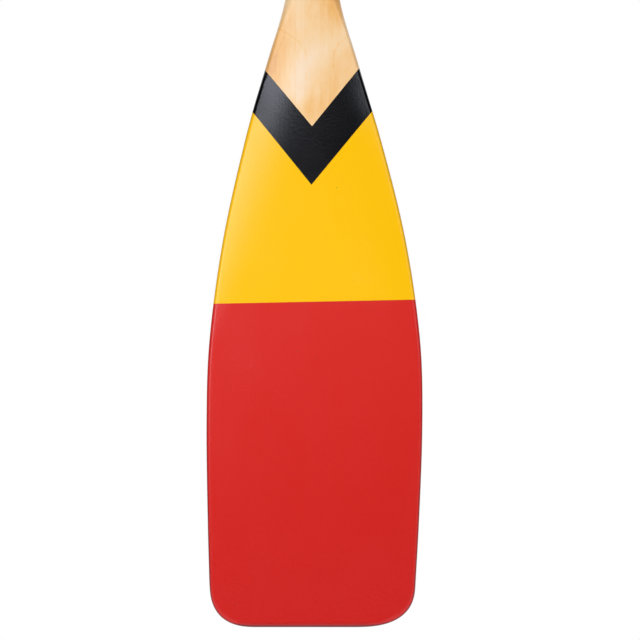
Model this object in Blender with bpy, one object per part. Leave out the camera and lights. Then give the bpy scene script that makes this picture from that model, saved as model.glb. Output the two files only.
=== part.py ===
"""Canoe paddle, laminated from glued strips of wood, with a wide square-tipped blade and a pear grip.

Metres. +Z runs up the shaft and the blade hangs down. The front of the paddle faces -Y, and +X is
to the right as the front is seen. The origin is on the shaft's axis at the neck, where a rack's
notch holds the paddle by the shoulders of its grip.

The paddle is carved from a glued blank. Three plies make the shaft and run on down to the tip of
the blade, three planks on each side of them make the blade, and a cheek on each side makes the
grip. The carved outside is one smooth form, and each piece is the slice of it between two glue
lines, so a piece's shape follows from the form and from where the glue lines lie.
"""

import math

import bmesh
import bpy
import numpy as np

# Front outline: the rise from each station to the next, and the full width at each, from the tip up
RISE_TO_LOWER = 0.094
RISE_TO_WIDEST = 0.088
RISE_TO_UPPER = 0.070
RISE_TO_SHOULDER = 0.088
RISE_TO_FLANK = 0.088
RISE_TO_WAIST = 0.070
RISE_TO_THROAT = 0.053
RISE_TO_SHAFT = 0.075
TIP_WIDTH = 0.1778
LOWER_WIDTH = 0.1859
BLADE_WIDTH = 0.1899
UPPER_WIDTH = 0.1853
SHOULDER_WIDTH = 0.1607
FLANK_WIDTH = 0.1196
WAIST_WIDTH = 0.0788
THROAT_WIDTH = 0.0483
SHAFT_WIDTH = 0.0285

# Tip corners, rounder on the right than on the left, as a hand-shaped blade is
CORNER_RISE = 0.037
LEFT_CORNER_REACH = 0.040
RIGHT_CORNER_REACH = 0.052
CORNER_FULLNESS = 2.6

# The blade leans a little to the right between these heights above the tip
LEAN = 0.0020
LEAN_START = 0.040
LEAN_LENGTH = 0.420

# Depth on the axis, front to back, at the stations
TIP_DEPTH = 0.0072
BLADE_DEPTH = 0.0080
SHOULDER_DEPTH = 0.0110
FLANK_DEPTH = 0.0168
WAIST_DEPTH = 0.0250
THROAT_DEPTH = 0.0284
SHAFT_DEPTH = 0.0310
NECK_DEPTH = 0.0286
GRIP_DEPTH = 0.0260

# The faces are flat inside a wedge that narrows and fades out at the flank, and bend down beyond it to the rim
FLAT_SPREAD = 0.48
FLAT_FADE = 0.006
CAMBER_RADIUS = 0.150
CAMBER_BLEND = 0.14
RIM_DEPTH = 0.0072

# Rounded edge of the blade, which widens below the shaft until it takes the whole section
EDGE_ROUND = 0.003
ROUNDING_LENGTH = 0.105

# Shaft and grip
SHAFT_LENGTH = 0.724
NECK_RISE = 0.024
NECK_WIDTH = 0.0330
CHEEK_RISE = 0.026
CHEEK_WIDTH = 0.0524
GRIP_RISE = 0.028
GRIP_WIDTH = 0.0680
CROWN_RISE = 0.022
GRIP_ROUND = 0.020

# The glued blank: widths of its plies, planks in each side of the blade, and the glue line between pieces
CENTRE_PLY_WIDTH = 0.0140
SIDE_PLY_WIDTH = 0.0075
PLANK_NAMES = ("inner", "middle", "outer")
GLUE_LINE = 0.0003
SAW_MARGIN = 0.020

# Fineness of the form
CORNER_STEPS = 9
BLADE_STEP = 0.022
FAIRING_STEP = 0.012
SHAFT_STEPS = 4
GRIP_STEP = 0.008
CROWN_STEPS = 7
EDGE_STEPS = 5
FACE_STEPS = 8
OUTLINE_REFINING = 5
WELD_DISTANCE = 1e-6
SMOOTH_ANGLE = math.radians(40)

# Colours
PALE_WOOD = (0.90, 0.66, 0.36, 1.0)
WARM_WOOD = (0.86, 0.58, 0.28, 1.0)
RED_PAINT = (0.66, 0.03, 0.02, 1.0)
VARNISH_ROUGHNESS = 0.28
PAINT_ROUGHNESS = 0.35

# Heights above the tip that the stations add up to
LOWER_HEIGHT = RISE_TO_LOWER
WIDEST_HEIGHT = LOWER_HEIGHT + RISE_TO_WIDEST
UPPER_HEIGHT = WIDEST_HEIGHT + RISE_TO_UPPER
SHOULDER_HEIGHT = UPPER_HEIGHT + RISE_TO_SHOULDER
FLANK_HEIGHT = SHOULDER_HEIGHT + RISE_TO_FLANK
WAIST_HEIGHT = FLANK_HEIGHT + RISE_TO_WAIST
THROAT_HEIGHT = WAIST_HEIGHT + RISE_TO_THROAT
SHAFT_FOOT = THROAT_HEIGHT + RISE_TO_SHAFT
SEAT_HEIGHT = SHAFT_FOOT + SHAFT_LENGTH
NECK_HEIGHT = SEAT_HEIGHT + NECK_RISE
CHEEK_HEIGHT = NECK_HEIGHT + CHEEK_RISE
GRIP_HEIGHT = CHEEK_HEIGHT + GRIP_RISE
TOP_HEIGHT = GRIP_HEIGHT + CROWN_RISE
BLANK_WIDTH = CENTRE_PLY_WIDTH + 2 * SIDE_PLY_WIDTH
PLANKS_PER_SIDE = len(PLANK_NAMES)


def smooth_through(stations, at):
    """Values at the heights given, on a smooth curve through (height, value) stations.

    The curve is level where the stations turn back and where they stay the same.
    """
    height, value = np.array(stations).T
    rise = np.diff(value) / np.diff(height)
    slope = np.concatenate([rise[:1], (value[2:] - value[:-2]) / (height[2:] - height[:-2]), rise[-1:]])
    slope[1:-1][rise[1:] * rise[:-1] <= 0] = 0
    i = np.clip(np.searchsorted(height, at) - 1, 0, len(height) - 2)
    span = height[i + 1] - height[i]
    t = np.clip((at - height[i]) / span, 0, 1)
    turned = t * t * (3 - 2 * t)
    leaving = slope[i] * span * t * (1 - t) ** 2
    arriving = slope[i + 1] * span * t * t * (t - 1)
    return value[i] + (value[i + 1] - value[i]) * turned + leaving + arriving


def eased(t):
    """0 below 0 and 1 above 1, with a smooth step between them."""
    t = np.clip(t, 0, 1)
    return t * t * (3 - 2 * t)


def half_widths(height):
    """How far the outline lies to the left and to the right of the shaft's axis."""
    stations = (
        (0, TIP_WIDTH / 2),
        (LOWER_HEIGHT, LOWER_WIDTH / 2),
        (WIDEST_HEIGHT, BLADE_WIDTH / 2),
        (UPPER_HEIGHT, UPPER_WIDTH / 2),
        (SHOULDER_HEIGHT, SHOULDER_WIDTH / 2),
        (FLANK_HEIGHT, FLANK_WIDTH / 2),
        (WAIST_HEIGHT, WAIST_WIDTH / 2),
        (THROAT_HEIGHT, THROAT_WIDTH / 2),
        (SHAFT_FOOT, SHAFT_WIDTH / 2),
        (SEAT_HEIGHT, SHAFT_WIDTH / 2),
        (NECK_HEIGHT, NECK_WIDTH / 2),
        (CHEEK_HEIGHT, CHEEK_WIDTH / 2),
        (GRIP_HEIGHT, GRIP_WIDTH / 2),
        (TOP_HEIGHT, GRIP_WIDTH / 2),
    )
    half = smooth_through(stations, height)
    lean = LEAN * np.sin(math.pi * np.clip((height - LEAN_START) / LEAN_LENGTH, 0, 1))
    below = np.clip((CORNER_RISE - height) / CORNER_RISE, 0, 1)
    cut = 1 - (1 - below**CORNER_FULLNESS) ** (1 / CORNER_FULLNESS)
    above = np.clip((height - GRIP_HEIGHT) / CROWN_RISE, 0, 1)
    crown = np.sqrt(1 - above**2)
    left = (half - lean - LEFT_CORNER_REACH * cut) * crown
    right = (half + lean - RIGHT_CORNER_REACH * cut) * crown
    return left, right


def levels():
    """The heights that the form is drawn at, closest where the outline turns."""
    turn = np.linspace(0, math.pi / 2, CORNER_STEPS + 1)
    corner = CORNER_RISE * (1 - np.cos(turn) ** (2 / CORNER_FULLNESS))
    blade = stretch(CORNER_RISE, UPPER_HEIGHT, BLADE_STEP)
    fairing = stretch(UPPER_HEIGHT, SHAFT_FOOT, FAIRING_STEP)
    shaft = np.linspace(SHAFT_FOOT, SEAT_HEIGHT, SHAFT_STEPS + 1)
    grip = stretch(SEAT_HEIGHT, GRIP_HEIGHT, GRIP_STEP)
    crown = GRIP_HEIGHT + CROWN_RISE * np.sin(np.linspace(0, math.pi / 2, CROWN_STEPS + 1))
    parts = (corner, blade[1:], fairing[1:], shaft[1:], grip[1:], crown[1:])
    return np.concatenate(parts)


def stretch(low, high, step):
    """Even heights from low to high, a step or less apart."""
    return np.linspace(low, high, math.ceil((high - low) / step) + 1)


def refined(heights):
    """The same heights with others set evenly between each two."""
    count = len(heights)
    fine = np.linspace(0, count - 1, (count - 1) * OUTLINE_REFINING + 1)
    return np.interp(fine, np.arange(count), heights)


def outline(heights):
    """The front outline as a closed loop of (x, height) points, up the right and down the left."""
    left, right = half_widths(heights)
    up = np.column_stack([right, heights])
    down = np.column_stack([-left, heights])[::-1]
    return np.concatenate([up, down])


def distance_to(loop, points):
    """How far each (x, height) point lies from the nearest stretch of a closed loop."""
    start = loop
    along = np.roll(loop, -1, axis=0) - start
    length = np.maximum((along**2).sum(axis=1), WELD_DISTANCE**2)
    nearest = np.full(len(points), np.inf)
    for a, v, n in zip(start, along, length, strict=True):
        share = np.clip(((points - a) @ v) / n, 0, 1)
        nearest = np.minimum(nearest, np.hypot(*(points - a - share[:, None] * v).T))
    return nearest


def rounded(height):
    """How much of the section the rounded edges take: 0 on the blade and 1 on the shaft."""
    return eased((height - SHAFT_FOOT + ROUNDING_LENGTH) / ROUNDING_LENGTH)


def edge_round(height, half):
    """How far in from the outline the section stays rounded."""
    if height > SEAT_HEIGHT:
        return min(half, GRIP_ROUND)
    return EDGE_ROUND + (half - EDGE_ROUND) * rounded(height)


def half_depths(x, height, half):
    """Half the depth that the form has at places across its section, inside the rounded edges."""
    stations = (
        (0, TIP_DEPTH),
        (LOWER_HEIGHT, BLADE_DEPTH),
        (WIDEST_HEIGHT, BLADE_DEPTH),
        (UPPER_HEIGHT, BLADE_DEPTH),
        (SHOULDER_HEIGHT, SHOULDER_DEPTH),
        (FLANK_HEIGHT, FLANK_DEPTH),
        (WAIST_HEIGHT, WAIST_DEPTH),
        (THROAT_HEIGHT, THROAT_DEPTH),
        (SHAFT_FOOT, SHAFT_DEPTH),
        (SEAT_HEIGHT, SHAFT_DEPTH),
        (NECK_HEIGHT, NECK_DEPTH),
        (CHEEK_HEIGHT, GRIP_DEPTH),
        (TOP_HEIGHT, GRIP_DEPTH),
    )
    crown = smooth_through(stations, height) / 2
    rim = RIM_DEPTH / 2 + (crown - RIM_DEPTH / 2) * rounded(height)
    wedge = (FLANK_HEIGHT - height) * FLAT_SPREAD
    flat = (wedge + math.hypot(wedge, FLAT_FADE)) / 2
    band = half - flat
    if band <= 0:
        return np.full(len(x), crown)
    to_rim = crown - rim
    bent = band**2 / 2 / CAMBER_RADIUS
    drop = max(to_rim + bent - math.hypot(to_rim - bent, (to_rim + bent) * CAMBER_BLEND), 0) / 2
    beyond_flat = np.maximum(np.abs(x) - flat, 0)
    return crown - drop * (beyond_flat / band) ** 2


def columns(reach, edge):
    """Places across one side of a section, from the outline in to where the rounded edge ends."""
    turn = np.linspace(0, math.pi / 2, EDGE_STEPS + 1)
    return reach - edge * (1 - np.cos(turn))


def sections():
    """The form's sections as rings of points, from the tip up: across the front, then back behind."""
    heights = levels()
    left, right = half_widths(heights)
    loop = outline(refined(heights))
    rings = []
    for height, to_left, to_right in zip(heights, left, right, strict=True):
        half = (to_left + to_right) / 2
        round_edge = max(edge_round(height, half), WELD_DISTANCE)
        edge = min(round_edge, half * (1 - 1 / FACE_STEPS))
        from_left = -columns(to_left, edge)
        from_right = columns(to_right, edge)[::-1]
        face = np.linspace(from_left[-1], from_right[0], FACE_STEPS + 1)[1:-1]
        x = np.concatenate([from_left, face, from_right])
        points = np.column_stack([x, np.full(len(x), height)])
        inward = np.clip(distance_to(loop, points) / round_edge, 0, 1)
        inward[[0, -1]] = 0
        depth = half_depths(x, height, half) * np.sqrt(1 - (1 - inward) ** 2)
        z = np.full(len(x), height - SEAT_HEIGHT)
        front = np.column_stack([x, -depth, z])
        behind = np.column_stack([x, depth, z])[-2:0:-1]
        rings.append(np.concatenate([front, behind]))
    return rings


def carved_form(name):
    """The whole paddle's outside as one closed mesh, lofted through its sections."""
    form = bmesh.new()
    rings = [[form.verts.new(point) for point in ring] for ring in sections()]
    for lower, upper in zip(rings, rings[1:]):
        for i in range(len(lower)):
            j = (i + 1) % len(lower)
            form.faces.new((lower[i], lower[j], upper[j], upper[i]))
    bmesh.ops.remove_doubles(form, verts=form.verts, dist=WELD_DISTANCE)
    bmesh.ops.dissolve_degenerate(form, dist=WELD_DISTANCE, edges=form.edges)
    bmesh.ops.recalc_face_normals(form, faces=form.faces)
    mesh = bpy.data.meshes.new(name)
    form.to_mesh(mesh)
    form.free()
    return mesh


def finish(name, colour, roughness):
    """A material of one colour, as shiny as its varnish or paint."""
    material = bpy.data.materials.new(name)
    material.use_nodes = True
    material.diffuse_color = colour
    shader = material.node_tree.nodes["Principled BSDF"]
    shader.inputs["Base Color"].default_value = colour
    shader.inputs["Roughness"].default_value = roughness
    shader.inputs["Metallic"].default_value = 0
    return material


def saw_block(name, low, high, cutters):
    """A box between two corners, which keeps what lies inside it."""
    bpy.ops.mesh.primitive_cube_add(size=1, location=[(a + b) / 2 for a, b in zip(low, high)])
    block = bpy.context.object
    block.name = name
    block.scale = [b - a for a, b in zip(low, high)]
    bpy.ops.object.transform_apply(location=False, rotation=False, scale=True)
    for collection in list(block.users_collection):
        collection.objects.unlink(block)
    cutters.objects.link(block)
    block.hide_render = True
    block.display_type = "WIRE"
    return block


def slice_of(form, name, sides, heights, coat, paddle, cutters):
    """Makes the piece of the form between two places across the paddle and two heights above its tip."""
    deep = SHAFT_DEPTH / 2 + SAW_MARGIN
    low = (min(sides), -deep, heights[0] - SEAT_HEIGHT)
    high = (max(sides), deep, heights[1] - SEAT_HEIGHT)
    piece = bpy.data.objects.new(name, form.copy())
    piece.data.name = name
    piece.data.materials.append(finish(name + "_finish", *coat))
    paddle.objects.link(piece)
    saw = piece.modifiers.new("sawn between glue lines", "BOOLEAN")
    saw.operation = "INTERSECT"
    saw.solver = "EXACT"
    saw.object = saw_block(name + "_saw", low, high, cutters)
    bpy.context.view_layer.objects.active = piece
    bpy.ops.object.modifier_apply(modifier=saw.name)
    piece.data.shade_smooth()
    piece.data.set_sharp_from_angle(angle=SMOOTH_ANGLE)


def side_slices():
    """Name, inner place, outer place, lowest, highest and coat of each piece beside the centre ply."""
    below = -SAW_MARGIN
    above = TOP_HEIGHT + SAW_MARGIN
    middle = (SHAFT_FOOT + SEAT_HEIGHT) / 2
    blank = BLANK_WIDTH / 2
    plank = (BLADE_WIDTH / 2 - blank) / PLANKS_PER_SIDE
    yield "shaft_{}_ply", CENTRE_PLY_WIDTH / 2, blank, below, above, (WARM_WOOD, VARNISH_ROUGHNESS)
    for i, place in enumerate(PLANK_NAMES):
        inner = blank + plank * i
        outer = inner + plank + SAW_MARGIN * (i == PLANKS_PER_SIDE - 1)
        yield f"blade_{{}}_{place}_plank", inner, outer, below, middle, (RED_PAINT, PAINT_ROUGHNESS)
    cheek = GRIP_WIDTH / 2 + SAW_MARGIN
    yield "grip_{}_cheek", blank, cheek, middle, above, (PALE_WOOD, VARNISH_ROUGHNESS)


def clear_scene():
    """Removes the objects that the file starts with."""
    for obj in list(bpy.data.objects):
        bpy.data.objects.remove(obj, do_unlink=True)


def new_collection(name):
    """A collection of that name, linked to the scene."""
    collection = bpy.data.collections.new(name)
    bpy.context.scene.collection.children.link(collection)
    return collection


def main():
    """Carves the form once and saws every piece out of it."""
    clear_scene()
    paddle = new_collection("canoe_paddle")
    cutters = new_collection("saw_blocks")
    cutters.hide_render = True
    form = carved_form("carved_form")
    edge = CENTRE_PLY_WIDTH / 2 - GLUE_LINE / 2
    whole = (-SAW_MARGIN, TOP_HEIGHT + SAW_MARGIN)
    coat = (PALE_WOOD, VARNISH_ROUGHNESS)
    slice_of(form, "shaft_centre_ply", (-edge, edge), whole, coat, paddle, cutters)
    for side, sign in (("left", -1), ("right", 1)):
        for name, inner, outer, lowest, highest, coat in side_slices():
            sides = (sign * (inner + GLUE_LINE / 2), sign * (outer - GLUE_LINE / 2))
            slice_of(form, name.format(side), sides, (lowest, highest), coat, paddle, cutters)
    bpy.data.meshes.remove(form)


main()
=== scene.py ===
"""Looks of a canoe paddle, laminated from strips of wood, with a painted blade and a varnished shaft.

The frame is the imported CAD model, in metres: +Z runs up the shaft, the front faces -Y, and the origin
is on the shaft's axis at the neck, where a rack holds the paddle. Each strip of the laminate is carved
here finer than its solid, and by the same rule: a flat sheet with the strip's outline is given the
paddle's depth at every point, so neighbouring strips meet in one smooth surface.
"""

from __future__ import annotations

import logging
import math
from collections.abc import Iterator
from dataclasses import dataclass, field
from enum import Enum

import bmesh
import bpy
import numpy as np
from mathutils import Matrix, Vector


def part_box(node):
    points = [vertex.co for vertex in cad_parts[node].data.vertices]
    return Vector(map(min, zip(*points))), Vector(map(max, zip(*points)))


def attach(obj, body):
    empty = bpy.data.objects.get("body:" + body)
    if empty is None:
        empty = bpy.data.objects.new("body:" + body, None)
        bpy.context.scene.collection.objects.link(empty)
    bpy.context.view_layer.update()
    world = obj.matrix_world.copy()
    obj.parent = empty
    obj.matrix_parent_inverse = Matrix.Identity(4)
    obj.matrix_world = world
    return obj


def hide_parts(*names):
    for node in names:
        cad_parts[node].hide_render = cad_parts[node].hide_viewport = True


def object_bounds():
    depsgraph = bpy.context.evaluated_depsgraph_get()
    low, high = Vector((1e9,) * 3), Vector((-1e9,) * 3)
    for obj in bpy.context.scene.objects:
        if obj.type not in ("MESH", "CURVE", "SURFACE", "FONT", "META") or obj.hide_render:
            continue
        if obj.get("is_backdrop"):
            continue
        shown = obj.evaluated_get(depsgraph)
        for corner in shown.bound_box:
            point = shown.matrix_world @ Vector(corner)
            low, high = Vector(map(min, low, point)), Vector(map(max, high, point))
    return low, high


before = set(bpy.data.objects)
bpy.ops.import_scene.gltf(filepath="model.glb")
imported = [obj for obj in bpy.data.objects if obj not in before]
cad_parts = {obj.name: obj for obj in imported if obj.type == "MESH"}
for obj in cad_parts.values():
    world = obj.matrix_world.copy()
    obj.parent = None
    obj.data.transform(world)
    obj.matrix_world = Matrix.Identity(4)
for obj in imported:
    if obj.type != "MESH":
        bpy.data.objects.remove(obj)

BODY = "root"
ON_LINE = 1e-9
INWARD = "inward"
NOISE_MIDDLE = 0.5
NOISE_GAIN = 4.0
MILLIMETRES = 1000
WHITE = (1.0, 1.0, 1.0, 1.0)
LOG = logging.getLogger("canoe_paddle")

Triple = tuple[float, float, float]
Colour = Triple
Tree = bpy.types.NodeTree
Socket = bpy.types.NodeSocket
Shade = Colour | Socket
Entries = dict[str | int, object]


class Side(Enum):
    """The two sides of the shaft's axis, as the front is seen."""

    LEFT = -1
    RIGHT = 1

    @property
    def word(self) -> str:
        """The side's name as it stands in a node's name."""
        return self.name.lower()


class Slot(Enum):
    """The record's material slots."""

    PALE_WOOD = "pale_wood"
    WARM_WOOD = "warm_wood"
    PAINTED_WOOD = "painted_wood"


def fill(node: bpy.types.Node, entries: Entries) -> None:
    """Fills a node's entries.

    Args:
        node: The node.
        entries: What goes into each entry: a socket or a Value, which is linked, or a plain value.
    """
    for name, given in entries.items():
        source = given.socket if isinstance(given, Value) else given
        if isinstance(source, Socket):
            node.id_data.links.new(source, node.inputs[name])
        else:
            node.inputs[name].default_value = source


def add(tree: Tree, kind: str, entries: Entries, **settings: object) -> bpy.types.Node:
    """Adds a node to a tree.

    Args:
        tree: The tree.
        kind: The node's type.
        entries: What goes into its entries, by name or by place.
        settings: The node's own settings.

    Returns:
        The node.
    """
    node = tree.nodes.new(kind)
    for name, value in settings.items():
        setattr(node, name, value)
    fill(node, entries)
    return node


@dataclass(frozen=True)
class Value:
    """A number that nodes work out, which Python's own signs combine into further nodes."""

    socket: Socket

    @property
    def tree(self) -> Tree:
        """The tree that the nodes stand in."""
        return self.socket.id_data

    def math(self, operation: str, *others: Value | float, clamped: bool = False) -> Value:
        """Adds a Math node.

        Args:
            operation: The node's operation.
            others: Its second and third entries.
            clamped: Whether the result is kept between 0 and 1.

        Returns:
            The node's result.
        """
        entries = dict(enumerate((self, *others)))
        node = add(self.tree, "ShaderNodeMath", entries, operation=operation, use_clamp=clamped)
        return Value(node.outputs[0])

    def __add__(self, other: Value | float) -> Value:
        """The sum."""
        return self.math("ADD", other)

    def __sub__(self, other: Value | float) -> Value:
        """The difference."""
        return self.math("SUBTRACT", other)

    def __rsub__(self, other: float) -> Value:
        """What is left of a plain number."""
        return (self * -1).math("ADD", other)

    def __mul__(self, other: Value | float) -> Value:
        """The product."""
        return self.math("MULTIPLY", other)

    def __truediv__(self, other: Value | float) -> Value:
        """The quotient."""
        return self.math("DIVIDE", other)

    def __abs__(self) -> Value:
        """The size without its sign."""
        return self.math("ABSOLUTE")

    def squared(self) -> Value:
        """The number times itself."""
        return self.math("MULTIPLY", self)

    def root(self) -> Value:
        """The square root."""
        return self.math("SQRT")

    def at_least(self, other: Value | float) -> Value:
        """The larger of two numbers."""
        return self.math("MAXIMUM", other)

    def at_most(self, other: Value | float) -> Value:
        """The smaller of two numbers."""
        return self.math("MINIMUM", other)

    def decay(self) -> Value:
        """1 at 0, and softly down to 0 as the number grows."""
        return (self * -1.0).math("EXPONENT")

    def part(self, low: float, high: float) -> Value:
        """How far the number has come from low, which gives 0, to high, which gives 1."""
        return (self - low) / (high - low)

    def share(self) -> Value:
        """The number kept between 0 and 1."""
        return self.math("ADD", 0.0, clamped=True)

    def eased(self) -> Value:
        """0 below 0 and 1 above 1, with a smooth step between them."""
        t = self.share()
        return t * t * (3.0 - t * 2.0)


def rays(tree: Tree, *kinds: str) -> Value:
    """Tells kinds of rays apart.

    Args:
        tree: The tree.
        kinds: The kinds' names, as Light Path gives them.

    Returns:
        1 for a ray of one of the kinds, and 0 for any other.
    """
    told = tree.nodes.new("ShaderNodeLightPath").outputs
    first, *others = (Value(told[f"Is {kind} Ray"]) for kind in kinds)
    for other in others:
        first = first.at_least(other)
    return first


def eased(t: np.ndarray) -> np.ndarray:
    """0 below 0 and 1 above 1, with a smooth step between them."""
    t = np.clip(t, 0, 1)
    return t * t * (3 - 2 * t)


@dataclass(frozen=True)
class Station:
    """One place up the paddle, with the width and the depth of the section there."""

    height: float
    width: float
    depth: float


@dataclass(frozen=True)
class Stations:
    """The places that the form is drawn through, by height above the tip."""

    tip: Station = Station(0.000, 0.1778, 0.0072)
    lower: Station = Station(0.094, 0.1859, 0.0080)
    widest: Station = Station(0.182, 0.1899, 0.0080)
    upper: Station = Station(0.252, 0.1853, 0.0080)
    shoulder: Station = Station(0.340, 0.1607, 0.0110)
    flank: Station = Station(0.428, 0.1196, 0.0168)
    waist: Station = Station(0.498, 0.0788, 0.0250)
    throat: Station = Station(0.551, 0.0483, 0.0284)
    shaft_foot: Station = Station(0.626, 0.0285, 0.0310)
    seat: Station = Station(1.350, 0.0285, 0.0310)
    neck: Station = Station(1.374, 0.0330, 0.0286)
    cheek: Station = Station(1.400, 0.0524, 0.0260)
    grip: Station = Station(1.428, 0.0680, 0.0260)
    top: Station = Station(1.450, 0.0680, 0.0260)

    def all(self) -> tuple[Station, ...]:
        """Every station, from the tip up."""
        return tuple(vars(self).values())

    def through(self, measure: str, height: np.ndarray) -> np.ndarray:
        """Reads one measure of the sections off a smooth curve through the stations.

        Args:
            measure: The measure's name, width or depth.
            height: Heights above the tip.

        Returns:
            The measure at each height, level where the stations turn back or stay the same.
        """
        places = np.array([station.height for station in self.all()])
        values = np.array([getattr(station, measure) for station in self.all()])
        rise = np.diff(values) / np.diff(places)
        inner = (values[2:] - values[:-2]) / (places[2:] - places[:-2])
        inner[rise[1:] * rise[:-1] <= 0] = 0
        slope = np.concatenate([rise[:1], inner, rise[-1:]])
        i = np.clip(np.searchsorted(places, height) - 1, 0, len(places) - 2)
        span = places[i + 1] - places[i]
        t = np.clip((height - places[i]) / span, 0, 1)
        turned = t * t * (3 - 2 * t)
        leaving = slope[i] * span * t * (1 - t) ** 2
        arriving = slope[i + 1] * span * t * t * (t - 1)
        return values[i] + (values[i + 1] - values[i]) * turned + leaving + arriving


@dataclass(frozen=True)
class PaddleForm:
    """The carved outside of the whole paddle, which every strip takes its slice of."""

    stations: Stations = Stations()
    corner_rise: float = 0.037
    corner_reach: dict[Side, float] = field(default_factory=lambda: {Side.LEFT: 0.040, Side.RIGHT: 0.052})
    corner_fullness: float = 2.6
    lean: float = 0.0020
    lean_start: float = 0.040
    lean_length: float = 0.420
    flat_spread: float = 0.48
    flat_fade: float = 0.006
    camber_radius: float = 0.150
    camber_blend: float = 0.14
    rim_depth: float = 0.0072
    edge_round: float = 0.003
    rounding_length: float = 0.105
    grip_round: float = 0.020

    def reach(self, side: Side, height: np.ndarray) -> np.ndarray:
        """How far the outline lies from the shaft's axis.

        Args:
            side: The side of the axis.
            height: Heights above the tip.

        Returns:
            The distance from the axis at each height.
        """
        half = self.stations.through("width", height) / 2
        lean = self.lean * np.sin(math.pi * np.clip((height - self.lean_start) / self.lean_length, 0, 1))
        below = np.clip((self.corner_rise - height) / self.corner_rise, 0, 1)
        cut = 1 - (1 - below**self.corner_fullness) ** (1 / self.corner_fullness)
        crown_foot = self.stations.grip.height
        above = np.clip((height - crown_foot) / (self.stations.top.height - crown_foot), 0, 1)
        crown = np.sqrt(1 - above**2)
        return (half + side.value * lean - self.corner_reach[side] * cut) * crown

    def half_width(self, height: np.ndarray) -> np.ndarray:
        """Half the distance across the outline at each height."""
        return (self.reach(Side.LEFT, height) + self.reach(Side.RIGHT, height)) / 2

    def rounded(self, height: np.ndarray) -> np.ndarray:
        """How far the rounding has spread from the shaft: 0 on the blade and 1 on the shaft."""
        return eased((height - self.stations.shaft_foot.height) / self.rounding_length + 1)

    def edge(self, height: np.ndarray) -> np.ndarray:
        """How far in from the outline the section stays rounded.

        Args:
            height: Heights above the tip.

        Returns:
            The width of the rounded edge at each height.
        """
        half = self.half_width(height)
        carved = self.edge_round + (half - self.edge_round) * self.rounded(height)
        on_grip = height > self.stations.seat.height
        return np.maximum(np.where(on_grip, np.minimum(half, self.grip_round), carved), ON_LINE)

    def section(self, height: np.ndarray) -> dict[str, np.ndarray]:
        """The measures of the section at each height, which the carving tree reads from the sheet.

        Args:
            height: Heights above the tip.

        Returns:
            Half the depth on the axis, how far the flat reaches, the camber's bend beyond it, and
            the width of the rounded edge.
        """
        crown = self.stations.through("depth", height) / 2
        rim = self.rim_depth / 2 + (crown - self.rim_depth / 2) * self.rounded(height)
        wedge = (self.stations.flank.height - height) * self.flat_spread
        flat = (wedge + np.hypot(wedge, self.flat_fade)) / 2
        band = np.maximum(self.half_width(height) - flat, ON_LINE)
        to_rim = crown - rim
        bent = band**2 / 2 / self.camber_radius
        blend = np.hypot(to_rim - bent, (to_rim + bent) * self.camber_blend)
        drop = np.maximum(to_rim + bent - blend, 0) / 2
        on_grip = height > self.stations.seat.height
        bend = np.where(on_grip, 0, drop / band**2)
        return {"crown": crown, "flat": flat, "bend": bend, "edge": self.edge(height)}


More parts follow.
